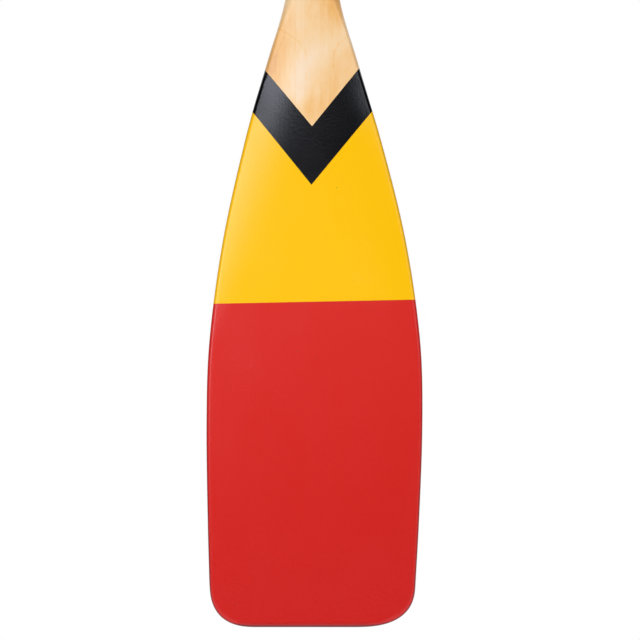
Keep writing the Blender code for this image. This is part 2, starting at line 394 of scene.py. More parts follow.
@dataclass(frozen=True)
class Sawing:
    """How finely the form is sampled: rows up the paddle, and columns across each strip."""

    form: PaddleForm
    lines: tuple[float, ...]
    tip_rows: int = 14
    corner_rows: int = 22
    blade_step: float = 0.004
    throat_step: float = 0.002
    shaft_step: float = 0.020
    grip_step: float = 0.0015
    crown_rows: int = 24
    edge_turn: float = math.radians(6.5)
    face_step: float = 0.0022
    row_gap: float = 1e-5
    crossing_gap: float = 1e-4
    crossing_steps: tuple[float, ...] = (0.0002, 0.0005, 0.0010, 0.0018)
    search_rows: int = 4000
    halvings: int = 40

    def heights(self) -> np.ndarray:
        """Spaces the rows.

        Returns:
            Their heights, closest where the form turns and where the outline meets a glue line.
        """
        form, at = self.form, self.form.stations
        turn = np.linspace(0, math.pi / 2, self.tip_rows + 1)
        tip = form.edge_round * (1 - np.cos(turn))
        turn = np.linspace(0, math.pi / 2, self.corner_rows + 1)
        corner = form.corner_rise * (1 - np.cos(turn) ** (2 / form.corner_fullness))
        blade = np.arange(form.corner_rise, at.upper.height, self.blade_step)
        throat = np.arange(at.upper.height, at.shaft_foot.height, self.throat_step)
        shaft = np.arange(at.shaft_foot.height, at.seat.height, self.shaft_step)
        grip = np.arange(at.seat.height, at.grip.height, self.grip_step)
        crown_rise = at.top.height - at.grip.height
        crown = at.grip.height + crown_rise * np.sin(np.linspace(0, math.pi / 2, self.crown_rows + 1))
        stations = [station.height for station in at.all()]
        rows = np.unique(np.concatenate([tip, corner, blade, throat, shaft, grip, crown, stations]))
        rows = rows[np.concatenate([[True], np.diff(rows) > self.row_gap])]
        crossings = np.array(self.crossings())
        steps = np.array(self.crossing_steps)
        beside = np.sort((crossings[:, None] + np.concatenate([-steps, steps])).ravel())
        beside = beside[np.concatenate([[True], np.diff(beside) > self.crossing_gap])]
        taken = np.concatenate([rows, crossings])
        apart = np.abs(beside[:, None] - taken).min(axis=1) > self.crossing_gap
        within = (beside > 0) & (beside < at.top.height)
        rows = np.unique(np.concatenate([rows, beside[apart & within]]))
        clear = np.abs(rows[:, None] - crossings).min(axis=1) > self.crossing_gap
        clear[[0, -1]] = True
        return np.unique(np.concatenate([rows[clear], crossings]))

    def crossings(self) -> list[float]:
        """Finds where the outline meets a glue line, by halving each stretch that holds such a place.

        Returns:
            The heights.
        """
        fine = np.linspace(0, self.form.stations.top.height, self.search_rows)
        found = []
        for side in Side:
            for line in self.lines:
                beyond = self.form.reach(side, fine) - line
                for i in np.flatnonzero(beyond[1:] * beyond[:-1] < 0):
                    low, high = fine[i], fine[i + 1]
                    for _ in range(self.halvings):
                        middle = (low + high) / 2
                        same = (self.form.reach(side, np.array([middle]))[0] - line) * beyond[i] > 0
                        low, high = (middle, high) if same else (low, middle)
                    found.append((low + high) / 2)
        return found

    def columns(self, side: Side, inner: float, outer: float, height: np.ndarray, count: int) -> np.ndarray:
        """Places across one side of a strip, closest in the rounded edge.

        Args:
            side: The side of the axis.
            inner: The strip's glue line nearer the axis.
            outer: Its glue line farther out, which the outline may fall short of.
            height: Heights of the rows.
            count: How many steps the columns make.

        Returns:
            One row of distances from the axis for each height, from the inner line outwards.
        """
        reach = self.form.reach(side, height)
        edge = self.form.edge(height)
        quarter = math.pi / 2 / self.edge_turn

        def steps(x: np.ndarray) -> np.ndarray:
            """Counts the steps in from the outline.

            Args:
                x: Distances from the axis, one for each row.

            Returns:
                How many steps each of them lies in.
            """
            inward = np.maximum(reach - x, 0)
            turned = np.arccos(1 - np.clip(inward / edge, 0, 1)) / self.edge_turn
            return turned + np.maximum(inward - edge, 0) / self.face_step

        first = steps(np.minimum(np.full_like(reach, inner), reach))
        last = steps(np.minimum(np.full_like(reach, outer), reach))
        along = np.linspace(0, 1, count + 1)
        at = first[:, None] + (last - first)[:, None] * along
        rounded = edge[:, None] * (1 - np.cos(np.minimum(at, quarter) * self.edge_turn))
        inward = rounded + np.maximum(at - quarter, 0) * self.face_step
        return reach[:, None] - inward


@dataclass(frozen=True)
class Noise:
    """A noise: how large its lumps are across, through and up the paddle, its seed and its finer layers."""

    lump: Triple
    seed: float = 0.0
    detail: float = 2.0


@dataclass(frozen=True)
class Places:
    """Where a point of the surface lies on the paddle, as a material reads it."""

    tree: Tree
    vector: Socket
    across: Value
    through: Value
    height: Value

    @classmethod
    def on(cls, tree: Tree, tip: float) -> Places:
        """Reads the object's own coordinates.

        Args:
            tree: The material's tree.
            tip: Where the blade's tip lies along Z.

        Returns:
            The places, with heights above the tip.
        """
        vector = tree.nodes.new("ShaderNodeTexCoord").outputs["Object"]
        parts = add(tree, "ShaderNodeSeparateXYZ", {0: vector})
        across, through, along = (Value(output) for output in parts.outputs)
        return cls(tree, vector, across, through, along - tip)

    def noise(self, pattern: Noise, shift: float = 0.0) -> Value:
        """Adds a noise.

        Args:
            pattern: The noise.
            shift: Moves its seed.

        Returns:
            The noise, mostly between -1 and 1.
        """
        place = (pattern.seed + shift,) * 3
        scale = [1 / size for size in pattern.lump]
        entries = {"Vector": self.vector, "Location": place, "Scale": scale}
        moved = add(self.tree, "ShaderNodeMapping", entries).outputs[0]
        entries = {"Vector": moved, "Scale": 1.0, "Detail": pattern.detail}
        texture = add(self.tree, "ShaderNodeTexNoise", entries)
        return (Value(texture.outputs[0]) - NOISE_MIDDLE) * NOISE_GAIN

    def mix(self, share: Value, first: Shade, second: Shade) -> Socket:
        """Mixes two colours.

        Args:
            share: How much of the second colour shows.
            first: The colour at 0.
            second: The colour at 1.

        Returns:
            The mixed colour.
        """
        node = add(self.tree, "ShaderNodeMix", {"Factor": share}, data_type="RGBA")
        entries = [place for place, entry in enumerate(node.inputs) if entry.type == "RGBA"]
        shades = [(*shade, 1.0) if isinstance(shade, tuple) else shade for shade in (first, second)]
        fill(node, dict(zip(entries, shades)))
        return next(output for output in node.outputs if output.type == "RGBA")


@dataclass(frozen=True)
class WoodShades:
    """The colours that a tone stands for, from 0, the darkest lines, to 1, the palest sheen."""

    line: Colour = (0.72, 0.33, 0.09)
    deep: Colour = (0.879, 0.491, 0.165)
    plain: Colour = (0.926, 0.635, 0.345)
    pale: Colour = (0.939, 0.730, 0.527)
    deep_tone: float = 0.30
    plain_tone: float = 0.65

    def colour(self, tone: Value) -> Socket:
        """Turns a tone into its colour with a ramp.

        Args:
            tone: The tone.

        Returns:
            The colour.
        """
        node = add(tone.tree, "ShaderNodeValToRGB", {"Fac": tone})
        stops = node.color_ramp.elements
        stops[0].color = (*self.line, 1.0)
        stops[1].color = (*self.pale, 1.0)
        for place, shade in ((self.deep_tone, self.deep), (self.plain_tone, self.plain)):
            stops.new(place).color = (*shade, 1.0)
        return node.outputs["Color"]


@dataclass(frozen=True)
class Wood:
    """The wood of one strip: how pale it is, and where the tree's heart lay when it was sawn."""

    tone: float
    seed: float
    heart_across: float
    heart_behind: float
    ring: float = 0.0036
    ring_depth: float = 0.030
    ring_darkens: tuple[float, float] = (0.25, 0.90)
    ring_ends: tuple[float, float] = (0.92, 1.00)
    wander: Noise = Noise((0.010, 0.010, 0.060), detail=3.0)
    wander_reach: float = 0.0022
    streak: Noise = Noise((0.0045, 0.0045, 0.110), 11.0)
    streak_depth: float = 0.030
    mottle: Noise = Noise((0.0045, 0.0045, 0.012), 13.0)
    mottle_depth: float = 0.085
    fibre: Noise = Noise((0.0008, 0.0008, 0.008), 3.0, 3.0)
    fibre_depth: float = 0.025
    pore: Noise = Noise((0.0005, 0.0005, 0.006), 7.0, 1.0)
    pore_opens: tuple[float, float] = (0.62, 0.87)
    pore_depth: float = 0.09

    def rings(self, places: Places) -> Value:
        """The growth rings: each darkens slowly outwards and ends sharply.

        Args:
            places: The places of the surface.

        Returns:
            0 in spring wood and 1 in summer wood.
        """
        across = places.across - self.heart_across + places.noise(self.wander, self.seed) * self.wander_reach
        behind = places.through - self.heart_behind
        growth = ((across.squared() + behind.squared()).root() / self.ring).math("FRACT")
        return growth.part(*self.ring_darkens).eased() * (1.0 - growth.part(*self.ring_ends).eased())

    def fibres(self, places: Places) -> Value:
        """Fine fibres along the grain, mostly between -1 and 1."""
        return places.noise(self.fibre, self.seed)

    def pores(self, places: Places) -> Value:
        """Short open pores along the grain, 1 where one is cut."""
        return places.noise(self.pore, self.seed).part(*self.pore_opens).share()

    def toned(self, places: Places) -> Value:
        """The strip's tone at every point.

        Args:
            places: The places of the surface.

        Returns:
            The tone, with rings, streaks, mottling, fibres and pores.
        """
        streaks = places.noise(self.streak, self.seed) * self.streak_depth
        mottle = places.noise(self.mottle, self.seed) * self.mottle_depth
        dark = self.rings(places) * self.ring_depth + self.pores(places) * self.pore_depth
        pale = self.fibres(places) * self.fibre_depth + streaks + mottle
        return pale - dark + (self.tone + self.ring_depth / 2)


@dataclass(frozen=True)
class Strip:
    """One strip of the laminate, between two glue lines."""

    node: str
    inner: float
    outer: float
    sides: tuple[Side, ...]
    low: float
    high: float
    columns: int
    slot: Slot
    wood: Wood

    def sheet(self, sawing: Sawing) -> bpy.types.Mesh:
        """Cuts the strip's flat outline as a sheet in the plane of the shaft's axis.

        Args:
            sawing: The rows and columns.

        Returns:
            The sheet, facing the front, with the measures of the sections on its points.
        """
        form = sawing.form
        heights = sawing.heights()
        reached = np.max([form.reach(side, heights) for side in self.sides], axis=0)
        held = (heights >= self.low) & (heights <= self.high) & (reached >= self.inner - ON_LINE)
        heights = heights[held]
        across = [
            side.value * sawing.columns(side, self.inner, self.outer, heights, self.columns)
            for side in self.sides
        ]
        if len(across) == 2:
            x = np.concatenate([across[0][:, :0:-1], across[1]], axis=1)
        elif self.sides[0] is Side.LEFT:
            x = across[0][:, ::-1]
        else:
            x = across[0]
        rows, columns = x.shape
        at_end = np.isin(heights, (0, form.stations.top.height))[:, None]
        on_rim = at_end | self.at_outline(form, x, heights)
        z = np.repeat(heights - form.stations.seat.height, columns)
        points = np.column_stack([x.ravel(), np.zeros(x.size), z])
        corner = np.arange(rows * columns).reshape(rows, columns)
        quads = np.stack([corner[:-1, :-1], corner[:-1, 1:], corner[1:, 1:], corner[1:, :-1]], axis=-1)
        mesh = bpy.data.meshes.new(self.node + "_sheet")
        mesh.from_pydata(points.tolist(), [], quads.reshape(-1, 4).tolist())
        for name, values in form.section(heights).items():
            measure = mesh.attributes.new(name, "FLOAT", "POINT")
            measure.data.foreach_set("value", np.repeat(values, columns).astype(np.float32))
        inside = mesh.attributes.new("inside", "FLOAT", "POINT")
        inside.data.foreach_set("value", (~on_rim).ravel().astype(np.float32))
        return mesh

    @staticmethod
    def at_outline(form: PaddleForm, x: np.ndarray, heights: np.ndarray) -> np.ndarray:
        """Which points of the sheet lie on the paddle's outline.

        Args:
            form: The form.
            x: The places across, a row for each height.
            heights: The heights.

        Returns:
            True where a point is on the outline.
        """
        right = form.reach(Side.RIGHT, heights)[:, None]
        left = form.reach(Side.LEFT, heights)[:, None]
        return (x > right - ON_LINE) | (x < ON_LINE - left)


@dataclass(frozen=True)
class Carving:
    """The node tree that gives a flat sheet the paddle's depth and closes it into a solid strip."""

    tolerance: float = 2e-7
    sharp_angle: float = math.radians(50)

    def tree(self) -> Tree:
        """Builds the tree.

        Returns:
            A geometry node tree with entries for the sheet, the outline, the finish and its sizes.
        """
        tree = bpy.data.node_groups.new("carve_strip", "GeometryNodeTree")
        entries = (
            ("Sheet", "NodeSocketGeometry"),
            ("Outline", "NodeSocketObject"),
            ("Finish", "NodeSocketMaterial"),
            ("Tolerance", "NodeSocketFloat"),
            ("Sharp Angle", "NodeSocketFloat"),
        )
        for name, kind in entries:
            tree.interface.new_socket(name, in_out="INPUT", socket_type=kind)
        tree.interface.new_socket("Strip", in_out="OUTPUT", socket_type="NodeSocketGeometry")
        given = tree.nodes.new("NodeGroupInput").outputs
        inward = self.inward(tree, given)
        half_depth = self.half_depth(tree, inward)
        near = {"Distance": given["Tolerance"]}

        def shape(kind: str, entries: Entries, **settings: object) -> Socket:
            """Adds a node and hands on the shape that it gives."""
            return add(tree, kind, entries, **settings).outputs[0]

        def moved(source: Socket, sign: float, **chosen: Socket) -> Socket:
            """Moves a shape, or its chosen points, by half the depth."""
            offset = add(tree, "ShaderNodeCombineXYZ", {"Y": half_depth * sign}).outputs[0]
            return shape("GeometryNodeSetPosition", {"Geometry": source, "Offset": offset, **chosen})

        def marked(source: Socket, name: str, value: Value | Socket, **kind: str) -> Socket:
            """Keeps a value with a shape under a name."""
            entries = {"Geometry": source, "Name": name, "Value": value}
            return shape("GeometryNodeStoreNamedAttribute", entries, **kind)

        sheet = shape("GeometryNodeMergeByDistance", {"Geometry": given["Sheet"], **near})
        sheet = marked(sheet, INWARD, inward, data_type="FLOAT", domain="POINT")
        entries = {"Mesh": sheet, "Offset Scale": 0.0, "Individual": False}
        walls = add(tree, "GeometryNodeExtrudeMesh", entries, mode="FACES").outputs
        foot = add(tree, "FunctionNodeBooleanMath", {0: walls["Top"]}, operation="NOT").outputs[0]
        front = moved(walls["Mesh"], -1.0, Selection=walls["Top"])
        front = moved(front, 1.0, Selection=foot)
        back = moved(shape("GeometryNodeFlipFaces", {"Mesh": sheet}), 1.0)
        joined = tree.nodes.new("GeometryNodeJoinGeometry")
        for half in (back, front):
            tree.links.new(half, joined.inputs["Geometry"])
        closed = shape("GeometryNodeMergeByDistance", {"Geometry": joined.outputs["Geometry"], **near})
        smooth = shape("GeometryNodeSetShadeSmooth", {"Geometry": closed}, domain="FACE")
        bend = tree.nodes.new("GeometryNodeInputMeshEdgeAngle").outputs["Unsigned Angle"]
        angles = {"A": bend, "B": given["Sharp Angle"]}
        sharp = add(tree, "FunctionNodeCompare", angles, data_type="FLOAT", operation="GREATER_THAN")
        edged = marked(smooth, "sharp_edge", sharp.outputs[0], data_type="BOOLEAN", domain="EDGE")
        real = shape("GeometryNodeRealizeInstances", {"Geometry": edged})
        dressed = shape("GeometryNodeSetMaterial", {"Geometry": real, "Material": given["Finish"]})
        add(tree, "NodeGroupOutput", {"Strip": dressed})
        return tree

    def inward(self, tree: Tree, given: bpy.types.NodeOutputs) -> Value:
        """Measures how far the sheet's points lie inside the paddle's outline.

        Args:
            tree: The tree.
            given: What comes into the tree.

        Returns:
            The distance from the outline.
        """
        outline = add(tree, "GeometryNodeObjectInfo", {"Object": given["Outline"]}).outputs["Geometry"]
        near = add(tree, "GeometryNodeProximity", {"Geometry": outline}, target_element="EDGES")
        return Value(near.outputs["Distance"])

    def half_depth(self, tree: Tree, inward: Value) -> Value:
        """Works out half the paddle's depth at each point of the sheet.

        Args:
            tree: The tree.
            inward: How far each point lies inside the outline.

        Returns:
            Half the depth: flat in the middle, bent down beyond the flat, and rounded at the outline.
        """
        def measure(name: str) -> Value:
            """Reads one of the sheet's measures."""
            read = add(tree, "GeometryNodeInputNamedAttribute", {"Name": name}, data_type="FLOAT")
            return Value(read.outputs["Attribute"])

        rounding = (1.0 - (1.0 - (inward / measure("edge")).share()).squared()).root() * measure("inside")
        position = tree.nodes.new("GeometryNodeInputPosition").outputs[0]
        across = Value(add(tree, "ShaderNodeSeparateXYZ", {0: position}).outputs["X"])
        beyond_flat = (abs(across) - measure("flat")).at_least(0.0)
        return (measure("crown") - beyond_flat.squared() * measure("bend")) * rounding


@dataclass
class Carver:
    """Turns strips into finished pieces of the paddle."""

    form: PaddleForm
    sawing: Sawing
    carving: Carving = Carving()

    def __post_init__(self) -> None:
        """Builds the tree and the outline that every strip shares."""
        self.tree = self.carving.tree()
        self.outline = self.outline_loop()

    def outline_loop(self) -> bpy.types.Object:
        """Draws the paddle's whole front outline.

        Returns:
            One closed loop of edges.
        """
        heights = self.sawing.heights()
        z = heights - self.form.stations.seat.height
        up = np.column_stack([self.form.reach(Side.RIGHT, heights), np.zeros_like(z), z])
        down = np.column_stack([-self.form.reach(Side.LEFT, heights), np.zeros_like(z), z])[::-1]
        points = np.concatenate([up, down])
        edges = [(i, (i + 1) % len(points)) for i in range(len(points))]
        mesh = bpy.data.meshes.new("outline_loop")
        mesh.from_pydata(points.tolist(), edges, [])
        loop = bpy.data.objects.new("outline_loop", mesh)
        bpy.context.scene.collection.objects.link(loop)
        return loop

    def carve(self, strip: Strip, finish: bpy.types.Material) -> bpy.types.Object:
        """Carves one strip and sets it in the place of its CAD node.

        Args:
            strip: The strip.
            finish: Its material.

        Returns:
            The finished piece.
        """
        piece = bpy.data.objects.new(strip.node + "_carved", strip.sheet(self.sawing))
        bpy.context.scene.collection.objects.link(piece)
        carve = piece.modifiers.new("carve", "NODES")
        carve.node_group = self.tree
        values = {
            "Outline": self.outline,
            "Finish": finish,
            "Tolerance": self.carving.tolerance,
            "Sharp Angle": self.carving.sharp_angle,
        }
        for socket in self.tree.interface.items_tree:
            if socket.name in values:
                carve[socket.identifier] = values[socket.name]
        evaluated = piece.evaluated_get(bpy.context.evaluated_depsgraph_get())
        solid = bpy.data.meshes.new_from_object(evaluated)
        piece.modifiers.remove(carve)
        sheet = piece.data
        piece.data = solid
        solid.name = strip.node + "_carved"
        bpy.data.meshes.remove(sheet)
        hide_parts(strip.node)
        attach(piece, BODY)
        LOG.info("%s: %d faces, slot %s", piece.name, len(solid.polygons), strip.slot.value)
        return piece

    def tidy(self) -> None:
        """Takes the outline loop away once every strip is carved."""
        mesh = self.outline.data
        bpy.data.objects.remove(self.outline, do_unlink=True)
        bpy.data.meshes.remove(mesh)
        bpy.data.node_groups.remove(self.tree)


@dataclass(frozen=True)
class GrainPath:
    """A path on the front of the throat that climbs along the grain, then swings out to one side."""

    across: float
    turn: float
    rise: float
    swing: float

    def off(self, places: Places) -> Value:
        """How far to the right of the path the surface lies, square to the path.

        Args:
            places: The places of the surface.

        Returns:
            The distance, less than 0 on the left.
        """
        climb = places.height.part(self.turn, self.turn + self.rise).at_least(0.0)
        path = climb.squared() * self.swing + self.across
        slope = climb * (2 * self.swing / self.rise)
        return (places.across - path) / (slope.squared() + 1.0).root()


@dataclass(frozen=True)
class PaleStreak:
    """A painted sheen: a pale streak on the front of the throat that stands for a highlight on the varnish.
    """

    path: GrainPath = GrainPath(-0.0150, 0.472, 0.050, 0.0436)
    width: float = 0.0135
    low_end: float = 0.450
    high_start: float = 0.486
    high_end: float = 0.530
    # how much paler the painted sheen makes the wood at its strongest
    paleness: float = 0.38
    high_share: float = 0.45
    mottle: Noise = Noise((0.0030, 0.0030, 0.018))
    mottle_depth: float = 0.20

    def tone(self, places: Places, seed: float) -> Value:
        """How much paler the painted sheen makes the wood.

        Args:
            places: The places of the surface.
            seed: Moves its mottling.

        Returns:
            The change of tone.
        """
        band = (self.path.off(places) / self.width).squared().decay()
        starts = places.height.part(self.low_end, self.path.turn).eased()
        fades = places.height.part(self.high_start, self.high_end).eased()
        strength = starts * (1.0 - fades * (1.0 - self.high_share)) * self.paleness
        mottled = places.noise(self.mottle, seed) * self.mottle_depth + 1.0
        return band * strength * mottled


@dataclass(frozen=True)
class FigureLine:
    """A thin dark growth line on the front of the throat."""

    path: GrainPath
    foot: float
    width: float = 0.0015
    depth: float = 0.13
    fade: float = 0.006
    breaks: Noise = Noise((0.0025, 0.0025, 0.0040))
    break_depth: float = 0.75

    def tone(self, places: Places) -> Value:
        """How much darker the line makes the wood.

        Args:
            places: The places of the surface.

        Returns:
            The change of tone, 0 or less.
        """
        head = self.path.turn + self.path.rise
        starts = places.height.part(self.foot, self.foot + self.fade).eased()
        ends = 1.0 - places.height.part(head, head + self.fade).eased()
        breaks = places.noise(self.breaks, self.path.across * MILLIMETRES) * self.break_depth
        line = (1.0 - abs(self.path.off(places)) / self.width).eased()
        return line * starts * ends * (breaks + 1.0).at_least(0.0) * -self.depth


@dataclass(frozen=True)
class Patch:
    """A soft patch of darker or paler wood on the front of the throat."""

    across: float
    height: float
    reach_across: float
    reach_up: float
    change: float

    def tone(self, places: Places) -> Value:
        """How much the patch changes the wood.

        Args:
            places: The places of the surface.

        Returns:
            The change of tone, which fades out from the patch's middle.
        """
        aside = ((places.across - self.across) / self.reach_across).squared()
        up = ((places.height - self.height) / self.reach_up).squared()
        return (aside + up).decay() * self.change


@dataclass(frozen=True)
class ThroatFigure:
    """The figure that shows on the front of the throat, across the strips, with painted sheen, painted
    highlight and painted shade among its marks.
    """

    # painted sheen: a varnish highlight set into the wood's tone as a pale streak
    streak: PaleStreak = PaleStreak()
    lines: tuple[FigureLine, ...] = (
        FigureLine(GrainPath(-0.0050, 0.4999, 0.0235, -0.0205), 0.476),
        FigureLine(GrainPath(0.0182, 0.5000, 0.0175, 0.0110), 0.485),
        FigureLine(GrainPath(-0.0325, 0.4930, 0.0245, 0.0075), 0.486, depth=0.08),
    )
    patches: tuple[Patch, ...] = (
        # deeper tone on the left of the throat: painted shade
        Patch(-0.0370, 0.4960, 0.013, 0.034, -0.34),
        Patch(-0.0040, 0.4560, 0.006, 0.012, -0.12),
        Patch(0.0070, 0.4580, 0.016, 0.016, -0.13),
        # paler on the left of the shaft's top: painted highlight
        Patch(-0.0210, 0.5520, 0.010, 0.018, 0.14),
        # deeper tone on the right of the shaft's top: darker wood, and painted shade where the round shaft
        # turns from the light
        Patch(0.0220, 0.5540, 0.013, 0.022, -0.36),
        # paler on the left of the shaft's top: painted highlight
        Patch(-0.0120, 0.5450, 0.006, 0.024, 0.06),
        Patch(0.0229, 0.5120, 0.0012, 0.0018, -0.24),
    )
    # painted shade: the left of the throat a little darker
    dull: Patch = Patch(-0.0420, 0.4950, 0.020, 0.045, -0.075)
    full_depth: float = 0.002

    def tone(self, places: Places, seed: float) -> Value:
        """The change that the figure, with its painted sheen and shade, makes to the wood's tone.

        Args:
            places: The places of the surface.
            seed: Moves the streak's mottling.

        Returns:
            The change of tone.
        """
        change = self.streak.tone(places, seed)
        for mark in (*self.lines, *self.patches):
            change = change + mark.tone(places)
        return change * self.front(places)

    def brightness(self, places: Places) -> Value:
        """1 for most of the wood and a little less on the left of the throat, where shade is painted in."""
        return self.dull.tone(places) * self.front(places) + 1.0

    def front(self, places: Places) -> Value:
        """1 on the front of the throat and 0 on its back."""
        return places.through.part(0.0, -self.full_depth).share()


@dataclass(frozen=True)
class PaintLine:
    """A taped edge of the paint: its height above the tip at its point, and how it climbs to each side."""

    height: float
    climb_left: float
    climb_right: float
    point_across: float = 0.0

    def below(self, places: Places, softness: float) -> Value:
        """Where the surface lies below the line.

        Args:
            places: The places of the surface.
            softness: How far the edge takes to turn over.

        Returns:
            1 below the line and 0 above it.
        """
        mean = (self.climb_left + self.climb_right) / 2
        lean = (self.climb_right - self.climb_left) / 2
        across = places.across - self.point_across
        line = abs(across) * mean + across * lean + self.height
        return (line - places.height).part(-softness / 2, softness / 2).share()


@dataclass(frozen=True)
class Nib:
    """A speck of dust that dried into the paint."""

    across: float
    height: float
    radius: float = 0.0007

    def mark(self, places: Places) -> Value:
        """Where the speck lies.

        Args:
            places: The places of the surface.

        Returns:
            1 in the speck's middle and 0 outside it.
        """
        aside = (places.across - self.across).squared()
        up = (places.height - self.height).squared()
        return (1.0 - (aside + up).root() / self.radius).share()


@dataclass(frozen=True)
class BladePaint:
    """The blade's blocks of satin paint, from the tip up: red, yellow, and a black chevron."""

    red: Colour = (0.683, 0.0230, 0.0167)
    # the red in painted shade, which the red darkens to toward the tip
    red_at_tip: Colour = (0.597, 0.0044, 0.0)
    yellow: Colour = (0.99, 0.546, 0.0)
    black: Colour = (0.0012, 0.0012, 0.0018)
    nib_colour: Colour = (0.16, 0.07, 0.03)
    red_top: PaintLine = PaintLine(0.2861, -0.0203, 0.0203)
    yellow_top: PaintLine = PaintLine(0.3887, 1.2378, 1.211, -0.0009)
    black_top: PaintLine = PaintLine(0.4401, 1.194, 1.2306, -0.0004)
    nibs: tuple[Nib, ...] = (
        Nib(-0.0127, 0.2423),
        Nib(0.0040, 0.2371),
        Nib(-0.0664, 0.0200),
        Nib(0.0215, 0.3865),
    )
    softness: float = 0.0002
    roughness: float = 0.25
    ripple: Noise = Noise((0.0015, 0.0015, 0.0018), 21.0)
    peel: float = 2.5e-5
    build: float = 3e-5

    def covered(self, places: Places) -> Value:
        """1 where paint covers the wood."""
        return self.black_top.below(places, self.softness)

    def colour(self, places: Places, wood: Socket) -> Socket:
        """Lays the coats over the wood, each below its line.

        Args:
            places: The places of the surface.
            wood: The wood's colour.

        Returns:
            The colour of the finished surface.
        """
        colour = wood
        # the red darkens toward the tip: painted shade
        red = places.mix(self.worn(places), self.red, self.red_at_tip)
        coats = ((self.black_top, self.black), (self.yellow_top, self.yellow), (self.red_top, red))
        for line, shade in coats:
            colour = places.mix(line.below(places, self.softness), colour, shade)
        for nib in self.nibs:
            colour = places.mix(nib.mark(places), colour, self.nib_colour)
        return colour

    def worn(self, places: Places) -> Value:
        """A ramp from 1 at the tip to 0 at the top of the red, which sets the painted shade and the duller
        gloss toward the tip.
        """
        return (1.0 - places.height / self.red_top.height).share()

    def relief(self, places: Places) -> Value:
        """The coat's thickness in metres, with the fine ripple that a brushed and rubbed coat keeps."""
        return (places.noise(self.ripple) * self.peel + self.build) * self.covered(places)


@dataclass(frozen=True)
class Finish:
    """One strip's material: its wood with the throat's figure, the glue lines, the blade's paint, and
    painted shade along the rim and at the foot.
    """

    strip: Strip
    tip: float
    shades: WoodShades = WoodShades()
    figure: ThroatFigure = ThroatFigure()
    paint: BladePaint = BladePaint()
    glue: Colour = (0.42, 0.20, 0.07)
    glue_reach: float = 0.00012
    glue_share: float = 0.12
    varnish_roughness: float = 0.30
    unevenness: Noise = Noise((0.03, 0.03, 0.06), 31.0)
    roughness_swing: float = 0.025
    pore_relief: float = 6e-6
    fibre_relief: float = 1.5e-6
    specular: float = 0.42
    specular_tint: Colour = (0.86, 0.88, 1.0)
    # painted shade along the rim, on bare wood, on paint, and more toward the tip; then painted shade at the
    # foot
    rim_shade: float = 0.18
    painted_rim_shade: float = 0.32
    worn_rim_shade: float = 0.36
    worn_rim_dullness: float = 0.75
    foot_shade: float = 0.56
    foot_reach: float = 0.0052
    rim_dark: float = 0.0003
    rim_light: float = 0.0018

    def material(self) -> bpy.types.Material:
        """Builds the material on Object coordinates.

        Returns:
            The material, named for its strip.
        """
        material = bpy.data.materials.new(self.strip.node + "_finish")
        material.use_nodes = True
        tree = material.node_tree
        places = Places.on(tree, self.tip)
        wood = self.strip.wood
        tone = wood.toned(places) + self.figure.tone(places, wood.seed)
        colour = places.mix(self.glue_lines(places), self.shades.colour(tone), self.glue)
        painted = {"Color": self.paint.colour(places, colour), "Value": self.brightness(places)}
        surface = {
            "Base Color": add(tree, "ShaderNodeHueSaturation", painted).outputs["Color"],
            "Roughness": self.roughness(places),
            "Normal": self.normal(places),
            "Specular IOR Level": self.gloss(places),
            "Specular Tint": (*self.specular_tint, 1.0),
        }
        fill(tree.nodes["Principled BSDF"], surface)
        return material

    def gloss(self, places: Places) -> Value | float:
        """The specular level, which is lower where the tip's rim is worn.

        Args:
            places: The places of the surface.

        Returns:
            A plain number where the strip ends above the red and isn't worn.
        """
        if self.strip.low > self.paint.red_top.height:
            return self.specular
        return (1.0 - self.rim(places) * self.paint.worn(places) * self.worn_rim_dullness) * self.specular

    def brightness(self, places: Places) -> Value:
        """How much painted shade darkens the colour.

        Args:
            places: The places of the surface.

        Returns:
            1 for most of the surface, and less where shade is painted: along the rim, more so toward the
            tip, at the foot, and on the left of the throat.
        """
        painted = self.paint.covered(places)
        # painted shade along the rim: deeper on paint, and deeper still toward the tip
        shade = painted * (self.painted_rim_shade - self.rim_shade) + self.rim_shade
        shade = shade + self.paint.worn(places) * self.worn_rim_shade
        # painted shade at the foot of the tip, which faces down
        foot = 1.0 - (1.0 - (places.height / self.foot_reach).eased()) * self.foot_shade
        bare = (self.figure.brightness(places) - 1.0) * (1.0 - painted) + 1.0
        return (1.0 - self.rim(places) * shade) * foot * bare

    def rim(self, places: Places) -> Value:
        """1 on the paddle's outline and 0 a little way in from it."""
        read = add(places.tree, "ShaderNodeAttribute", {}, attribute_name=INWARD)
        return 1.0 - Value(read.outputs["Fac"]).part(self.rim_dark, self.rim_light).eased()

    def glue_lines(self, places: Places) -> Value:
        """The thin brown glue lines at the strip's two sides.

        Args:
            places: The places of the surface.

        Returns:
            How much of the glue's colour shows.
        """
        near = min(line for line in (self.strip.inner, self.strip.outer) if line > 0)
        nearest = abs(abs(places.across) - near)
        if near < self.strip.outer:
            nearest = nearest.at_most(abs(abs(places.across) - self.strip.outer))
        return (1.0 - nearest / self.glue_reach).share() * self.glue_share

    def roughness(self, places: Places) -> Value:
        """The roughness of the finish.

        Args:
            places: The places of the surface.

        Returns:
            The varnish's or the paint's roughness, a little uneven.
        """
        uneven = places.noise(self.unevenness) * self.roughness_swing
        varnish = self.varnish_roughness
        return self.paint.covered(places) * (self.paint.roughness - varnish) + uneven + varnish

    def normal(self, places: Places) -> Socket:
        """Bends the light over the fine relief.

        Args:
            places: The places of the surface.

        Returns:
            The normal, bumped by open pores and fibres in the wood and by the ripple of the paint.
        """
        wood = self.strip.wood
        grain = wood.fibres(places) * self.fibre_relief - wood.pores(places) * self.pore_relief
        height = grain * (1.0 - self.paint.covered(places)) + self.paint.relief(places)
        return add(places.tree, "ShaderNodeBump", {"Height": height, "Distance": 1.0}).outputs["Normal"]


